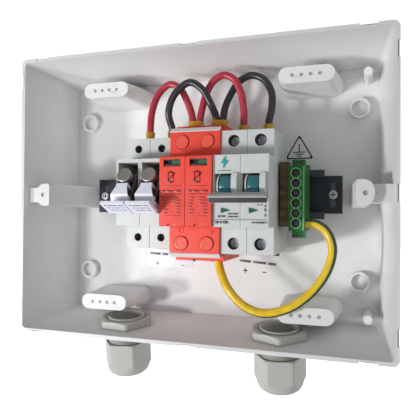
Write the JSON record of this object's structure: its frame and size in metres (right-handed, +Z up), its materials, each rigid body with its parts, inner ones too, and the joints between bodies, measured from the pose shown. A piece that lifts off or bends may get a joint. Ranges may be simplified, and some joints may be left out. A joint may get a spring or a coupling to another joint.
{
  "type": "dc combiner box",
  "caption": "Open wall enclosure with a DIN rail that carries hinged fuse holders, a surge protector, a breaker and an earth block, wired, with cable glands below.",
  "frame": {"origin": "centre of the outer back face, on the wall", "axes": "+X to the object's right seen from the front, +Y into the wall, +Z up"},
  "size_m": [0.267, 0.0953, 0.2361],
  "materials": {
    "enclosure": "satin",
    "device_grey": "satin",
    "carrier_white": "satin",
    "surge_red": "satin",
    "black_plastic": "matte",
    "rail_black": "satin",
    "toggle_teal": "satin",
    "tie_grey": "satin",
    "earth_green": "satin",
    "flag_green": "satin",
    "steel": "satin",
    "nickel": "polished",
    "brass": "dull",
    "wire_red": "satin",
    "wire_black": "satin",
    "wire_earth": "satin",
    "ferrule": "satin",
    "gland_grey": "matte",
    "seal": "matte"
  },
  "bodies": {
    "box": {"enclosure_base": "enclosure", "din_rail": "rail_black", "rail_screw_left": "steel", "rail_screw_right": "steel", "fuse_holder_housing_1": "device_grey", "breaker_pole_1": "device_grey", "fuse_hinge_pin_1": "steel", "ferrule_fuse_1": "ferrule", "ferrule_surge_1": "ferrule", "ferrule_breaker_1": "ferrule", "fuse_clamp_screw_lower_1": "steel", "breaker_clamp_screw_lower_1": "steel", "surge_terminal_cap_lower_1": "surge_red", "fuse_clamp_screw_upper_1": "steel", "breaker_clamp_screw_upper_1": "steel", "surge_terminal_cap_upper_1": "surge_red", "fuse_holder_housing_2": "device_grey", "breaker_pole_2": "device_grey", "fuse_hinge_pin_2": "steel", "ferrule_fuse_2": "ferrule", "ferrule_surge_2": "ferrule", "ferrule_breaker_2": "ferrule", "fuse_clamp_screw_lower_2": "steel", "breaker_clamp_screw_lower_2": "steel", "surge_terminal_cap_lower_2": "surge_red", "fuse_clamp_screw_upper_2": "steel", "breaker_clamp_screw_upper_2": "steel", "surge_terminal_cap_upper_2": "surge_red", "surge_base": "surge_red", "earth_block_housing": "earth_green", "earth_block_foot": "earth_green", "earth_block_bar": "brass", "wire_fuse_1_to_surge_1": "wire_red", "wire_surge_1_to_breaker_1": "wire_red", "wire_fuse_2_to_surge_2": "wire_black", "wire_surge_2_to_breaker_2": "wire_black", "wire_earth": "wire_earth", "gland_body_left": "gland_grey", "gland_locknut_left": "gland_grey", "gland_seal_left": "seal", "gland_body_right": "gland_grey", "gland_locknut_right": "gland_grey", "gland_seal_right": "seal"},
    "fuse_carrier_1": {"fuse_carrier_1": "carrier_white", "fuse_link_1": "nickel"},
    "fuse_carrier_2": {"fuse_carrier_2": "carrier_white", "fuse_link_2": "nickel"},
    "surge_cartridge_1": {"surge_cartridge_1": "surge_red"},
    "status_flag_1": {"surge_status_flag_1": "flag_green"},
    "surge_cartridge_2": {"surge_cartridge_2": "surge_red"},
    "status_flag_2": {"surge_status_flag_2": "flag_green"},
    "breaker_toggle": {"breaker_toggle_1": "toggle_teal", "breaker_toggle_2": "toggle_teal", "breaker_tie_bar": "tie_grey"},
    "fuse_rail_latch_1": {"fuse_rail_latch_1": "device_grey"},
    "fuse_rail_latch_2": {"fuse_rail_latch_2": "device_grey"},
    "surge_rail_latch": {"surge_rail_latch": "surge_red"},
    "breaker_rail_latch": {"breaker_rail_latch": "black_plastic"},
    "gland_dome_nut_left": {"gland_dome_nut_left": "gland_grey"},
    "gland_dome_nut_right": {"gland_dome_nut_right": "gland_grey"}
  },
  "joints": [
    {"name": "fuse_carrier_1_hinge", "type": "hinge", "parent": "box", "child": "fuse_carrier_1", "pos_m": [-0.03907, -0.064, -0.0096], "axis": [-1, 0, 0], "range_deg": [0, 65]},
    {"name": "fuse_carrier_2_hinge", "type": "hinge", "parent": "box", "child": "fuse_carrier_2", "pos_m": [-0.02142, -0.064, -0.0096], "axis": [-1, 0, 0], "range_deg": [0, 65]},
    {"name": "surge_cartridge_1_pull", "type": "slide", "parent": "box", "child": "surge_cartridge_1", "axis": [0, -1, 0], "range_m": [0, 0.06]},
    {"name": "status_flag_1_slide", "type": "slide", "parent": "surge_cartridge_1", "child": "status_flag_1", "axis": [-1, 0, 0], "range_m": [0, 0.0055]},
    {"name": "surge_cartridge_2_pull", "type": "slide", "parent": "box", "child": "surge_cartridge_2", "axis": [0, -1, 0], "range_m": [0, 0.06]},
    {"name": "status_flag_2_slide", "type": "slide", "parent": "surge_cartridge_2", "child": "status_flag_2", "axis": [-1, 0, 0], "range_m": [0, 0.0055]},
    {"name": "breaker_toggle_hinge", "type": "hinge", "parent": "box", "child": "breaker_toggle", "pos_m": [0.0409, -0.076, 0.0042], "axis": [-1, 0, 0], "range_deg": [0, 63]},
    {"name": "fuse_rail_latch_1_slide", "type": "slide", "parent": "box", "child": "fuse_rail_latch_1", "axis": [0, 0, -1], "range_m": [0, 0.003], "stiffness_N_per_m": 300, "springref_m": -0.002},
    {"name": "fuse_rail_latch_2_slide", "type": "slide", "parent": "box", "child": "fuse_rail_latch_2", "axis": [0, 0, -1], "range_m": [0, 0.003], "stiffness_N_per_m": 300, "springref_m": -0.002},
    {"name": "surge_rail_latch_slide", "type": "slide", "parent": "box", "child": "surge_rail_latch", "axis": [0, 0, -1], "range_m": [0, 0.003], "stiffness_N_per_m": 300, "springref_m": -0.002},
    {"name": "breaker_rail_latch_slide", "type": "slide", "parent": "box", "child": "breaker_rail_latch", "axis": [0, 0, -1], "range_m": [0, 0.003], "stiffness_N_per_m": 300, "springref_m": -0.002},
    {"name": "gland_dome_nut_left_turn", "type": "hinge", "parent": "box", "child": "gland_dome_nut_left", "pos_m": [-0.058, -0.036, -0.09616], "axis": [0, 0.1149, -0.9934], "continuous": true},
    {"name": "gland_dome_nut_right_turn", "type": "hinge", "parent": "box", "child": "gland_dome_nut_right", "pos_m": [0.058, -0.036, -0.09616], "axis": [0, 0.1149, -0.9934], "continuous": true}
  ]
}
